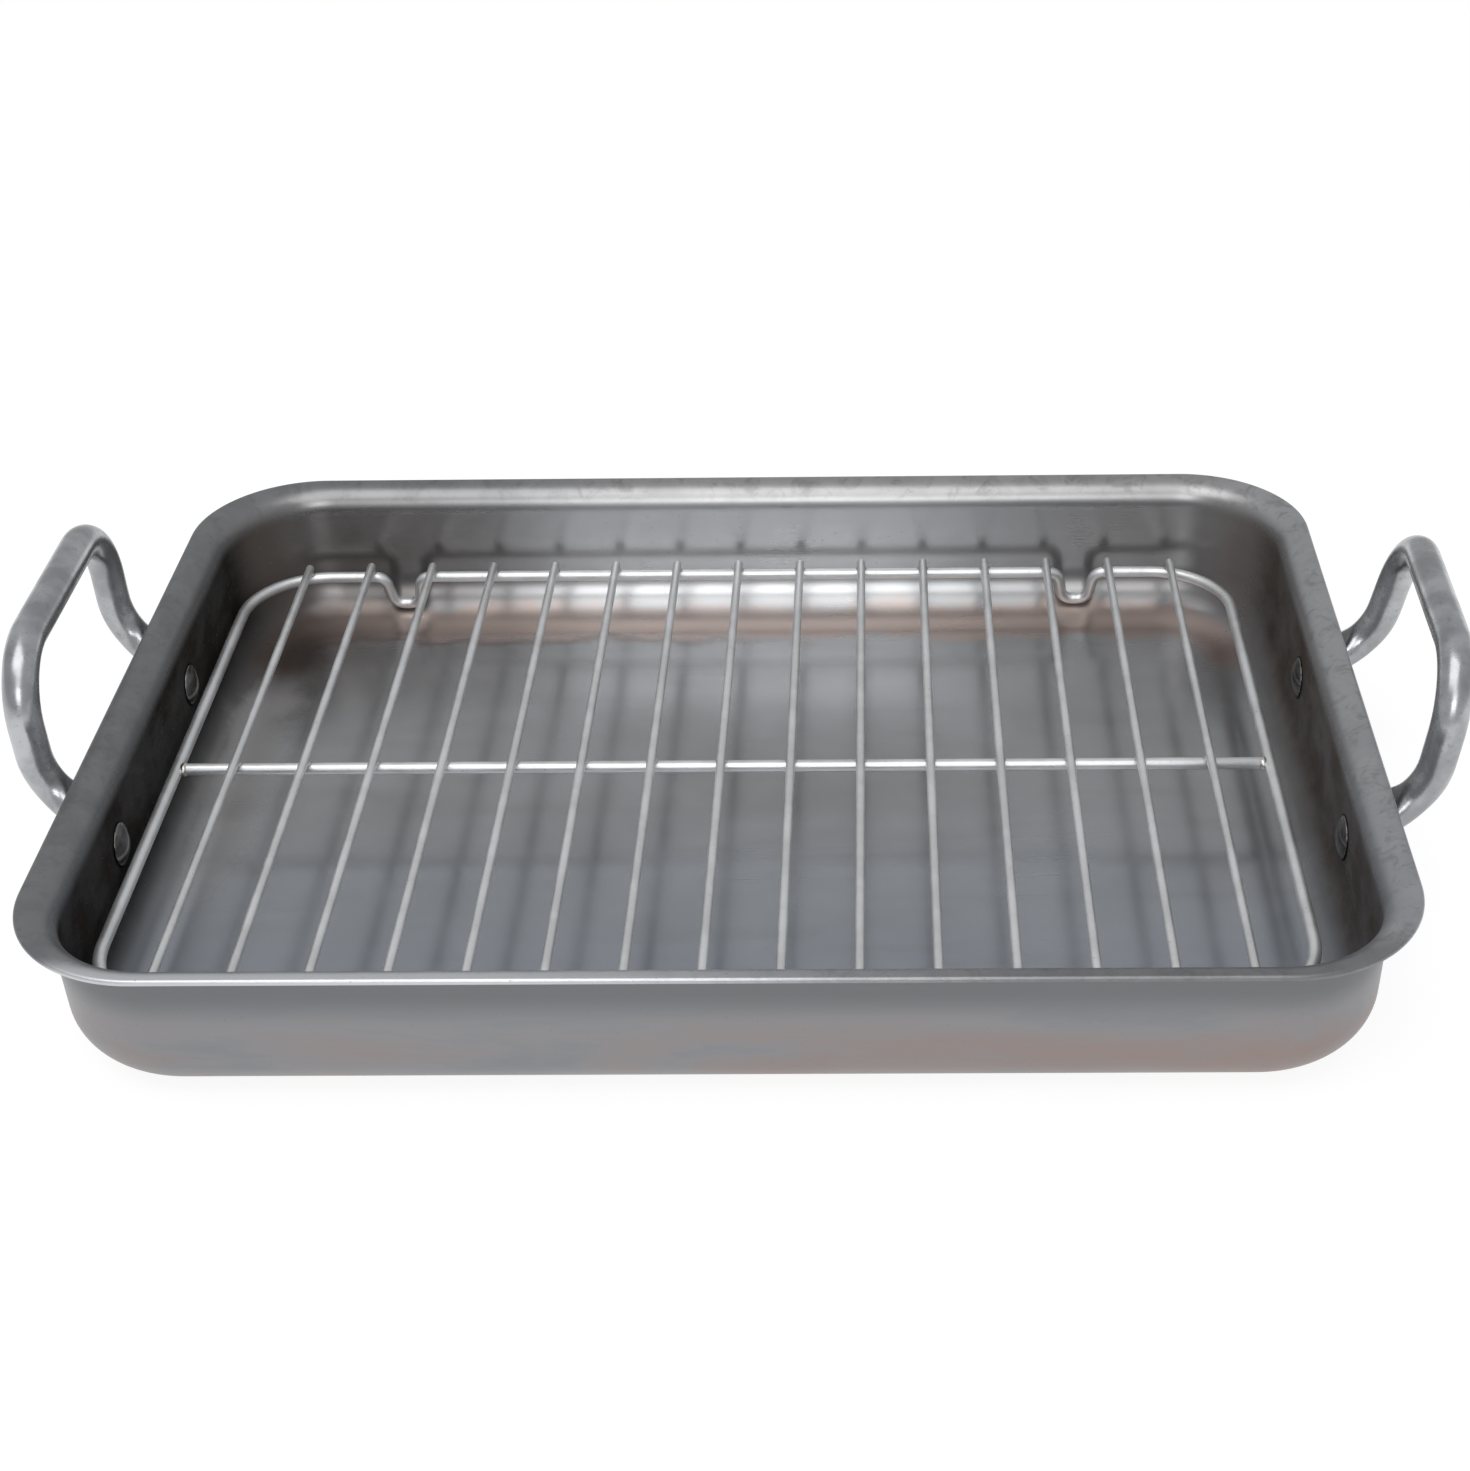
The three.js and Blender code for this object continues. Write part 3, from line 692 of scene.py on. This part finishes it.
def handle_shape(turn, lug_shift, grip_shift, lean, sag, splay):
    lug_centre = SEAT_GAP + LUG_THICKNESS / 2

    def wall_x(height):
        return PAN_LENGTH / 2 - wall_inset(height) + lug_centre / math.cos(WALL_DRAFT)

    lug_foot = rivet_height - LUG_WIDTH / 2
    lug_top = rivet_height + RIVET_TAIL_DIAMETER / 2 + LUG_BEND_RADIUS / 2
    leg_x = PAN_LENGTH / 2 + GRIP_REACH
    grip_x = leg_x + lean
    facing = math.cos(turn)

    def leg(side, drop, out):
        lug_y = facing * lug_shift + side * RIVET_SPACING / 2
        grip_y = facing * grip_shift + side * GRIP_SPACING / 2
        return [
            ((wall_x(lug_foot), lug_y, lug_foot), 0.0),
            ((wall_x(lug_top), lug_y, lug_top), LUG_BEND_RADIUS),
            ((leg_x, grip_y, PAN_HEIGHT - LEG_BEND_DROP), LEG_BEND_RADIUS),
            ((grip_x + out, grip_y, PAN_HEIGHT + GRIP_RISE - drop), GRIP_BEND_RADIUS),
        ]

    path = resampled(bent_path(leg(1, sag, splay) + leg(-1, 0.0, 0.0)[::-1]), ROD_STEP)
    steps = [np.linalg.norm(b - a) for a, b in zip(path, path[1:])]
    travelled = np.concatenate([[0.0], np.cumsum(steps)])
    total = travelled[-1]
    lug_length = lug_top - lug_foot

    def outline_at(i):
        from_tip = min(travelled[i], total - travelled[i])
        rounded = smoothstep(from_tip, lug_length, lug_length + ROUNDING_LENGTH)
        past = min(from_tip / (LUG_WIDTH / 2), 1.0)
        tip_width = max(LUG_WIDTH * math.sqrt(1 - (1 - past) ** 2), LUG_TIP_FLAT)
        return flattened(
            LUG_THICKNESS + (ROD_DIAMETER - LUG_THICKNESS) * rounded - ROD_SHAVING,
            tip_width + (ROD_DIAMETER - tip_width) * rounded - ROD_SHAVING,
            LUG_SQUARENESS + (ROD_SQUARENESS - LUG_SQUARENESS) * rounded,
            ROD_SIDES,
        )

    return moved(sweep(path, (1, 0, 0), outline_at), Matrix.Rotation(turn, 4, "Z"))


def dome(edge_radius, base, height):
    curve = (edge_radius ** 2 + height ** 2) / (2 * abs(height))
    spread = math.asin(edge_radius / curve)
    points = []
    for angle in np.linspace(spread, TIP_ANGLE, DOME_STEPS):
        rise = curve * (math.cos(angle) - math.cos(spread))
        points.append((curve * math.sin(angle), base + math.copysign(rise, height)))
    return points


def rivet_shape(turn, side):
    shank = RIVET_SHANK_DIAMETER / 2
    head_seat = -SHEET - SEAT_GAP
    tail_seat = lug_face + SEAT_GAP
    head = dome(RIVET_DOME_DIAMETER / 2, head_seat, -RIVET_DOME_HEIGHT)
    tail = dome(RIVET_TAIL_DIAMETER / 2, tail_seat, RIVET_TAIL_HEIGHT)
    turned = lathe([*reversed(head), (shank, head_seat), (shank, tail_seat), *tail], RIVET_SIDES)
    on_wall = Vector((
        PAN_LENGTH / 2 - wall_inset(rivet_height),
        math.cos(turn) * (RIVET_SHIFT + side * RIVET_SPACING / 2),
        rivet_height,
    ))
    place = (
        Matrix.Rotation(turn, 4, "Z")
        @ Matrix.Translation(on_wall)
        @ Matrix.Rotation(math.pi / 2, 4, "X")
        @ Matrix.Rotation(-math.pi / 2 - WALL_DRAFT, 4, "Z")
    )
    return moved(turned, place)


for end, (turn, *bends) in ENDS.items():
    shape = handle_shape(turn, *bends)
    piece(f"grip_{end}", shape, handle_steel, "pan", [f"handle_{end}"])
    for leg, side in LEGS.items():
        shape = rivet_shape(turn, side)
        node = f"rivet_{end}_{leg}"
        piece(f"rivet_dome_{end}_{leg}", shape, rivet_steel, "pan", [node])

# Rack
frame_z = SHEET + FRAME_HEIGHT
frame_radius = FRAME_WIRE / 2
cross_radius = CROSS_WIRE / 2
rack_half_length = (
    PAN_LENGTH / 2 - inner_inset(frame_z) - SEAT_GAP - RIVET_HEAD_HEIGHT
    - RACK_END_CLEARANCE - frame_radius - abs(RACK_SHIFT)
)
rack_half_width = PAN_WIDTH / 2 - inner_inset(frame_z) - RACK_SIDE_CLEARANCE - frame_radius
wire_pitch = 2 * (rack_half_length - FIRST_WIRE_INSET) / (CROSS_WIRE_COUNT - 1)
rack_place = Matrix.Translation((RACK_SHIFT, 0, frame_z))
cross_z = frame_radius + cross_radius + WELD_GAP
wire_places = [(i - (CROSS_WIRE_COUNT - 1) / 2) * wire_pitch for i in range(CROSS_WIRE_COUNT)]


def foot_z():
    across = rack_half_width + FOOT_SPREAD - (PAN_WIDTH / 2 - fillet_centre[0])
    reach = BOTTOM_RADIUS - SHEET - frame_radius - SEAT_GAP
    if across <= 0:
        return fillet_centre[1] - reach
    return fillet_centre[1] - math.sqrt(reach ** 2 - across ** 2)


def frame_shape():
    drop = foot_z() - frame_z
    foot_x = FOOT_PITCHES * wire_pitch
    half_foot = FOOT_WIDTH / 2

    def foot(x, y, heading):
        return [
            ((x - heading * (half_foot + FOOT_FLARE), y, 0), FOOT_BEND_RADIUS),
            ((x - heading * half_foot, y - heading * FOOT_SPREAD, drop), FOOT_BEND_RADIUS),
            ((x + heading * half_foot, y - heading * FOOT_SPREAD, drop), FOOT_BEND_RADIUS),
            ((x + heading * (half_foot + FOOT_FLARE), y, 0), FOOT_BEND_RADIUS),
        ]

    def corner(x, y):
        return ((x, y, 0), FRONT_CORNER_RADIUS if y < 0 else REAR_CORNER_RADIUS)

    path = bent_path([
        corner(-rack_half_length, -rack_half_width),
        *foot(-foot_x, -rack_half_width, 1),
        *foot(foot_x, -rack_half_width, 1),
        corner(rack_half_length, -rack_half_width),
        corner(rack_half_length, rack_half_width),
        *foot(foot_x, rack_half_width, -1),
        *foot(-foot_x, rack_half_width, -1),
        corner(-rack_half_length, rack_half_width),
    ], True)
    outline = flattened(FRAME_WIRE, FRAME_WIRE, ROD_SQUARENESS, WIRE_SIDES)
    return moved(sweep(path, (0, 0, 1), lambda i: outline, True), rack_place)


def frame_reach(x, corner_radius):
    past = max(abs(x) - (rack_half_length - corner_radius), 0.0)
    return rack_half_width - corner_radius + math.sqrt(corner_radius ** 2 - past ** 2)


def straight_wire(diameter, length):
    radius = diameter / 2
    half = length / 2
    rounding = WIRE_TIP_ROUNDING
    tip = [(radius - rounding + rounding * math.sin(a), half - rounding + rounding * math.cos(a))
           for a in np.linspace(0, math.pi / 2, WIRE_TIP_STEPS)]
    straight = half - 2 * rounding
    stretch = [(radius, y) for y in np.linspace(straight, -straight, WIRE_STEPS)]
    mirrored = [(r, -y) for r, y in reversed(tip)]
    return lathe([*mirrored, *reversed(stretch), *reversed(tip)], WIRE_SIDES)


piece("rack_rim", frame_shape(), rack_wire, "rack", ["rack_frame"])

centre_length = 2 * (rack_half_length - frame_radius - SEAT_GAP)
along_x = rack_place @ Matrix.Rotation(math.pi / 2, 4, "Z")
centre_shape = moved(straight_wire(FRAME_WIRE, centre_length), along_x)
piece("rack_spine", centre_shape, rack_wire, "rack", ["rack_centre_wire"])

for number, x in enumerate(wire_places, 1):
    front = frame_reach(x, FRONT_CORNER_RADIUS) + frame_radius
    rear = frame_reach(x, REAR_CORNER_RADIUS) + frame_radius
    place = rack_place @ Matrix.Translation((x, (rear - front) / 2, cross_z))
    shape = moved(straight_wire(CROSS_WIRE, front + rear), place)
    node = f"rack_cross_wire_{number:02d}"
    piece(f"rack_bar_{number:02d}", shape, rack_wire, "rack", [node])

# Spot welds under each cross wire, and a bead at each end of the centre wire
spots = []
for x in wire_places:
    for y in (-frame_reach(x, FRONT_CORNER_RADIUS), 0.0, frame_reach(x, REAR_CORNER_RADIUS)):
        spots.append(ellipsoid((x, y, frame_radius), SPOT_WELD))
for side in (-1, 1):
    bead_x = side * (rack_half_length - frame_radius - END_WELD_INSET)
    spots.append(ellipsoid((bead_x, 0, 0), END_WELD))
piece("rack_welds", moved(joined(spots), rack_place), rack_weld, "rack")

# Camera at the photograph's view: its focal length and centre are in the photograph's pixels
PHOTO_WIDTH = 1470.0
PHOTO_HEIGHT = 1471.0
FOCAL = 2431.13
CENTRE_U = 835.44
CENTRE_V = 800.0
YAW = -0.02017
PITCH = 0.59807
ROLL = 0.01713
SENSOR = 36.0
CLIP_START = 0.01
CAMERA_PLACE = (0.04538, -0.66514, 0.46149)

forward = Vector((
    math.sin(YAW) * math.cos(PITCH),
    math.cos(YAW) * math.cos(PITCH),
    -math.sin(PITCH),
))
level = Vector((math.cos(YAW), -math.sin(YAW), 0.0))
down = forward.cross(level)
right = math.cos(ROLL) * level + math.sin(ROLL) * down
lower = -math.sin(ROLL) * level + math.cos(ROLL) * down
camera_data = bpy.data.cameras.new("photo_view")
camera_data.sensor_width = SENSOR
camera_data.lens = FOCAL * SENSOR / PHOTO_HEIGHT
camera_data.shift_x = (PHOTO_WIDTH / 2 - CENTRE_U) / PHOTO_HEIGHT
camera_data.shift_y = (CENTRE_V - PHOTO_HEIGHT / 2) / PHOTO_HEIGHT
camera_data.clip_start = CLIP_START
camera = bpy.data.objects.new("photo_view", camera_data)
bpy.context.scene.collection.objects.link(camera)
turn = Matrix((right, -lower, -forward)).transposed().to_4x4()
camera.matrix_world = Matrix.Translation(CAMERA_PLACE) @ turn
bpy.context.scene.camera = camera

# Floor: white to the eye and in reflections, and it keeps the object's shadow
FLOOR_SIZE = 8.0
FLOOR_DROP = 0.0002
FLOOR_WHITE = 0.88
FLOOR_PALE = (0.80, 0.80, 0.80, 1.0)
FLOOR_SHADOW = (0.18, 0.18, 0.18, 1.0)


def floor_material():
    material = bpy.data.materials.new("floor")
    material.use_nodes = True
    nodes = material.node_tree.nodes
    links = material.node_tree.links
    nodes.clear()
    path = nodes.new("ShaderNodeLightPath")
    seen = nodes.new("ShaderNodeMath")
    seen.operation = "MAXIMUM"
    links.new(path.outputs["Is Camera Ray"], seen.inputs[0])
    links.new(path.outputs["Is Glossy Ray"], seen.inputs[1])
    shown = nodes.new("ShaderNodeMath")
    shown.operation = "MAXIMUM"
    links.new(seen.outputs[0], shown.inputs[0])
    links.new(path.outputs["Is Transmission Ray"], shown.inputs[1])
    pale = nodes.new("ShaderNodeBsdfDiffuse")
    pale.inputs["Color"].default_value = FLOOR_PALE
    faint = nodes.new("ShaderNodeBsdfDiffuse")
    faint.inputs["Color"].default_value = FLOOR_SHADOW
    glow = nodes.new("ShaderNodeEmission")
    glow.inputs["Strength"].default_value = FLOOR_WHITE
    white = nodes.new("ShaderNodeAddShader")
    links.new(faint.outputs[0], white.inputs[0])
    links.new(glow.outputs[0], white.inputs[1])
    mix = nodes.new("ShaderNodeMixShader")
    links.new(shown.outputs[0], mix.inputs[0])
    links.new(pale.outputs[0], mix.inputs[1])
    links.new(white.outputs[0], mix.inputs[2])
    output = nodes.new("ShaderNodeOutputMaterial")
    links.new(mix.outputs[0], output.inputs["Surface"])
    return material


half = FLOOR_SIZE / 2
floor_mesh = bpy.data.meshes.new("floor")
floor_corners = [(-half, -half, 0), (half, -half, 0), (half, half, 0), (-half, half, 0)]
floor_mesh.from_pydata(floor_corners, [], [(0, 1, 2, 3)])
floor_mesh.materials.append(floor_material())
floor = bpy.data.objects.new("floor", floor_mesh)
bpy.context.scene.collection.objects.link(floor)
floor.location.z = -FLOOR_DROP


# Lights: softboxes aimed at the pan, as (place, width, depth, radiance), and an even surround
SOFTBOXES = {
    "key": ((-0.22, -0.42, 1.25), 1.2, 0.9, 2.2),
    "front": ((-0.05, -2.20, 1.25), 1.10, 0.95, 3.4),
}
SURROUND_TINT = (0.97, 0.985, 1.0, 1.0)
SURROUND_LEVEL = 0.55

for name, (place, width, depth, radiance) in SOFTBOXES.items():
    lamp_data = bpy.data.lights.new(name, "AREA")
    lamp_data.shape = "RECTANGLE"
    lamp_data.size = width
    lamp_data.size_y = depth
    lamp_data.energy = radiance * width * depth * math.pi
    lamp = bpy.data.objects.new(name, lamp_data)
    bpy.context.scene.collection.objects.link(lamp)
    lamp.location = place
    lamp.rotation_mode = "QUATERNION"
    lamp.rotation_quaternion = (-Vector(place)).to_track_quat("-Z", "Y")
    lamp.visible_camera = False

world = bpy.data.worlds.new("studio")
bpy.context.scene.world = world
world.use_nodes = True
background = world.node_tree.nodes["Background"]
background.inputs["Color"].default_value = SURROUND_TINT
background.inputs["Strength"].default_value = SURROUND_LEVEL

bpy.context.scene.view_settings.view_transform = "Standard"
